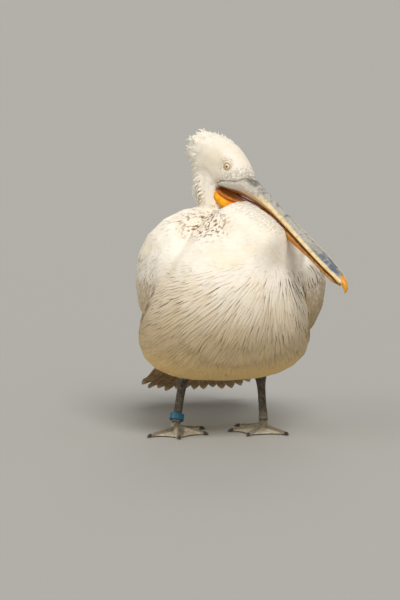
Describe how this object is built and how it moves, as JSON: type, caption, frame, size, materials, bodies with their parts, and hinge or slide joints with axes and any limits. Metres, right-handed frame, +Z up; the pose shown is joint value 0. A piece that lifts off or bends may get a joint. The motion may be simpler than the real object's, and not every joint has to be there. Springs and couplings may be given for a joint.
{
  "type": "life-size Dalmatian pelican model, standing with folded wings, its bill laid over the left breast",
  "caption": "Still, life-size pelican standing on its own two webbed feet, neck drawn back and long bill laid down over the left side of the breast.",
  "frame": {"origin": "on the floor, under the middle of the whole bird", "axes": "-Y is the way the bird faces, +X is its left side, +Z is up"},
  "size_m": [0.4144, 0.7762, 0.6563],
  "materials": {
    "plumage": "white feathers, cream and faintly tan on the breast and belly, speckled brown on the mantle",
    "primaries": "blackish-brown flight feathers",
    "tail_plumes": "tan and grey-brown tail feathers",
    "bill_horn": "grey horn, mottled, satin",
    "nail_horn": "orange-yellow horn",
    "bill_rami": "tan-orange horn",
    "pouch_skin": "bare orange skin, finely wrinkled",
    "iris": "pale yellow iris with a dark pupil, wet",
    "leg_skin": "grey scaly skin, paler on the webs",
    "claw": "dark horn",
    "ring": "plain blue band"
  },
  "bodies": {
    "root": {"head": "plumage", "crest": "plumage", "neck_upper": "plumage", "neck_lower": "plumage", "trunk": "plumage", "wing_left": "plumage", "wing_right": "plumage", "wingtip_left": "primaries", "wingtip_right": "primaries", "tail": "tail_plumes", "thigh_left": "plumage", "thigh_right": "plumage", "shank_left": "leg_skin", "shank_right": "leg_skin", "foot_left": "leg_skin", "foot_right": "leg_skin", "claw_left_hind": "claw", "claw_left_inner": "claw", "claw_left_middle": "claw", "claw_left_outer": "claw", "claw_right_hind": "claw", "claw_right_inner": "claw", "claw_right_middle": "claw", "claw_right_outer": "claw", "bill_upper": "bill_horn", "bill_nail": "nail_horn", "bill_lower": "bill_rami", "pouch": "pouch_skin", "eye_left": "iris", "eye_right": "iris", "leg_ring": "ring"}
  },
  "joints": []
}
